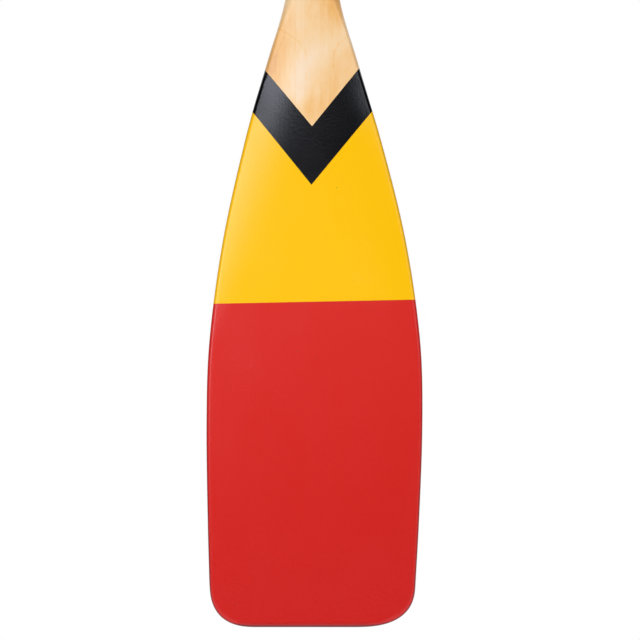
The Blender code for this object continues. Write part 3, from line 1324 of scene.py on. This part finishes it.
@dataclass(frozen=True)
class Shaft:
    """The three plies that run from the tip to the top of the grip."""

    centre_line: float
    blank_line: float
    tip: float
    top: float
    centre_wood: Wood = Wood(0.59, 1.0, 0.031, 0.045)
    left_wood: Wood = Wood(0.64, 4.0, -0.052, 0.030)
    right_wood: Wood = Wood(0.55, 5.5, 0.060, 0.020)
    centre_columns: int = 8
    side_columns: int = 12

    def strips(self) -> Iterator[Strip]:
        """Lays out the plies.

        Returns:
            The centre ply, and one on each side of it.
        """
        lines = (0.0, self.centre_line)
        run = (self.tip, self.top, self.centre_columns)
        yield Strip("shaft_centre_ply", *lines, tuple(Side), *run, Slot.PALE_WOOD, self.centre_wood)
        lines = (self.centre_line, self.blank_line)
        run = (self.tip, self.top, self.side_columns)
        for side, wood in zip(Side, (self.left_wood, self.right_wood)):
            yield Strip(f"shaft_{side.word}_ply", *lines, (side,), *run, Slot.WARM_WOOD, wood)


@dataclass(frozen=True)
class Blade:
    """The planks on each side of the plies, which make the blade."""

    lines: tuple[float, ...]
    tip: float
    top: float
    places: tuple[str, ...] = ("inner", "middle", "outer")
    tone: float = 0.50
    heart_across: float = 0.085
    heart_behind: float = 0.060
    heart_step: float = 0.030
    seed: float = 9.0
    seed_step: float = 2.0
    columns: int = 26

    def strips(self) -> Iterator[Strip]:
        """Lays out the planks.

        Returns:
            Inner, middle and outer plank of each side, each from another part of the tree.
        """
        run = (self.tip, self.top, self.columns)
        for side in Side:
            for i, (place, inner, outer) in enumerate(zip(self.places, self.lines, self.lines[1:])):
                name = f"blade_{side.word}_{place}_plank"
                heart = side.value * (self.heart_across + self.heart_step * i)
                wood = Wood(self.tone, self.seed + self.seed_step * i + side.value, heart, self.heart_behind)
                yield Strip(name, inner, outer, (side,), *run, Slot.PAINTED_WOOD, wood)


@dataclass(frozen=True)
class Grip:
    """The two cheeks that widen the shaft into the grip."""

    blank_line: float
    reach: float
    foot: float
    top: float
    tone: float = 0.58
    heart_across: float = 0.070
    heart_behind: float = 0.040
    seed: float = 17.0
    columns: int = 24

    def strips(self) -> Iterator[Strip]:
        """Lays out the cheeks.

        Returns:
            The left and the right cheek.
        """
        lines = (self.blank_line, self.reach)
        run = (self.foot, self.top, self.columns)
        for side in Side:
            wood = Wood(self.tone, self.seed + side.value, side.value * self.heart_across, self.heart_behind)
            yield Strip(f"grip_{side.word}_cheek", *lines, (side,), *run, Slot.PALE_WOOD, wood)


@dataclass(frozen=True)
class Lamp:
    """A soft round lamp."""

    name: str
    place: Triple
    aim: Triple
    size: float
    power: float

    def light(self) -> None:
        """Sets the lamp up."""
        data = bpy.data.lights.new(self.name, "AREA")
        data.shape = "DISK"
        data.size = self.size
        data.energy = self.power
        lamp = bpy.data.objects.new(self.name, data)
        lamp.location = self.place
        direction = Vector(self.aim) - Vector(self.place)
        lamp.rotation_euler = direction.to_track_quat("-Z", "Y").to_euler()
        bpy.context.scene.collection.objects.link(lamp)


@dataclass(frozen=True)
class Studio:
    """The white studio: floor, world, lamps and camera."""

    tip: float
    view_centre: tuple[float, float] = (0.0066, -1.080)
    view_width: float = 0.5626
    camera_distance: float = 5.5
    sensor: float = 36.0
    sight: float = 100.0
    floor_drop: float = 0.30
    floor_radius: float = 5.0
    floor_sides: int = 96
    floor_colour: Colour = (0.85, 0.85, 0.85)
    floor_roughness: float = 0.9
    floor_glow: float = 0.75
    ambient: float = 0.79
    back_ambient: float = 0.52
    ambient_turns: tuple[float, float] = (-0.3, 0.3)
    dark_cone: tuple[float, float] = (math.radians(20), math.radians(40))
    mirrored_front: float = 0.02
    mirrored_turns: tuple[float, float] = (0.55, 0.95)
    lamps: tuple[Lamp, ...] = (
        Lamp("key", place=(-0.42, -0.82, -0.98), aim=(0.0, 0.0, -1.08), size=0.42, power=3.0),
        Lamp("right_fill", place=(1.5, -1.9, -0.55), aim=(0.0, 0.0, -1.08), size=1.3, power=9.8),
        Lamp("back_fill", place=(0.0, 2.1, 1.2), aim=(0.0, 0.0, -0.7), size=1.4, power=32.0),
    )

    def build(self) -> None:
        """Sets up the whole studio."""
        self.world()
        self.floor()
        self.camera()
        for lamp in self.lamps:
            lamp.light()

    def world(self) -> None:
        """White where the camera or a reflection sees it, and a soft even light elsewhere.

        The light leaves out the camera's own direction, so that the flat faces mirror no haze, and it is
        lower behind the paddle than before it.
        """
        world = bpy.data.worlds.new("studio")
        bpy.context.scene.world = world
        world.use_nodes = True
        tree = world.node_tree
        direction = tree.nodes.new("ShaderNodeTexCoord").outputs["Generated"]
        backward = Value(add(tree, "ShaderNodeSeparateXYZ", {0: direction}).outputs["Y"])
        behind = backward.part(*self.mirrored_turns).eased()
        dark, clear = (math.cos(angle) for angle in self.dark_cone)
        beside = 1.0 - (backward * -1.0).part(clear, dark).eased()
        falloff = backward.part(*self.ambient_turns).eased() * (self.ambient - self.back_ambient)
        mirrored = behind * (1.0 - self.mirrored_front) + self.mirrored_front
        seen = rays(tree, "Camera").at_least(rays(tree, "Glossy", "Transmission") * mirrored)
        rest = 1.0 - rays(tree, "Camera", "Glossy")
        strength = seen + rest * beside * (self.ambient - falloff)
        fill(tree.nodes["Background"], {"Color": WHITE, "Strength": strength})

    def floor(self) -> None:
        """A round white floor below the hanging paddle, which takes its shadow and glows for the camera and
        for reflections.
        """
        shape = bmesh.new()
        bmesh.ops.create_circle(shape, cap_ends=True, segments=self.floor_sides, radius=self.floor_radius)
        bmesh.ops.translate(shape, verts=shape.verts, vec=(0.0, 0.0, self.tip - self.floor_drop))
        mesh = bpy.data.meshes.new("floor")
        shape.to_mesh(mesh)
        shape.free()
        floor = bpy.data.objects.new("floor", mesh)
        bpy.context.scene.collection.objects.link(floor)
        material = bpy.data.materials.new("white_floor")
        material.use_nodes = True
        tree = material.node_tree
        surface = {
            "Base Color": (*self.floor_colour, 1.0),
            "Roughness": self.floor_roughness,
            "Specular IOR Level": 0.0,
            "Emission Color": WHITE,
            "Emission Strength": rays(tree, "Camera", "Glossy", "Transmission") * self.floor_glow,
        }
        fill(tree.nodes["Principled BSDF"], surface)
        mesh.materials.append(material)
        floor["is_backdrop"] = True

    def camera(self) -> None:
        """A level camera, straight on to the front."""
        data = bpy.data.cameras.new("camera")
        data.sensor_width = self.sensor
        data.lens = self.sensor * self.camera_distance / self.view_width
        data.clip_end = self.sight
        camera = bpy.data.objects.new("camera", data)
        camera.location = (self.view_centre[0], -self.camera_distance, self.view_centre[1])
        camera.rotation_euler = (math.pi / 2, 0.0, 0.0)
        bpy.context.scene.collection.objects.link(camera)
        bpy.context.scene.camera = camera


def between(inner: str, outer: str) -> float:
    """Where the glue line runs between two CAD nodes on the right of the axis."""
    return (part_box(inner)[1].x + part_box(outer)[0].x) / 2


def main() -> None:
    """Builds the paddle around the frame and sets up the studio."""
    logging.basicConfig(level=logging.INFO, format="%(name)s: %(message)s")
    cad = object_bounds()
    centre_line = between("shaft_centre_ply", "shaft_right_ply")
    blank_line = between("shaft_right_ply", "blade_right_inner_plank")
    inner_line = between("blade_right_inner_plank", "blade_right_middle_plank")
    middle_line = between("blade_right_middle_plank", "blade_right_outer_plank")
    form = PaddleForm()
    sawing = Sawing(form, (centre_line, blank_line, inner_line, middle_line))
    carver = Carver(form, sawing)
    top = form.stations.top.height
    middle = (form.stations.shaft_foot.height + form.stations.seat.height) / 2
    width = form.stations.widest.width
    assemblies = (
        Shaft(centre_line, blank_line, 0.0, top),
        Blade((blank_line, inner_line, middle_line, width), 0.0, middle),
        Grip(blank_line, width, middle, top),
    )
    tip = cad[0].z
    for assembly in assemblies:
        for strip in assembly.strips():
            carver.carve(strip, Finish(strip, tip).material())
    carver.tidy()
    Studio(tip).build()
    bpy.context.scene.view_settings.view_transform = "Standard"


if __name__ == "__main__":
    main()
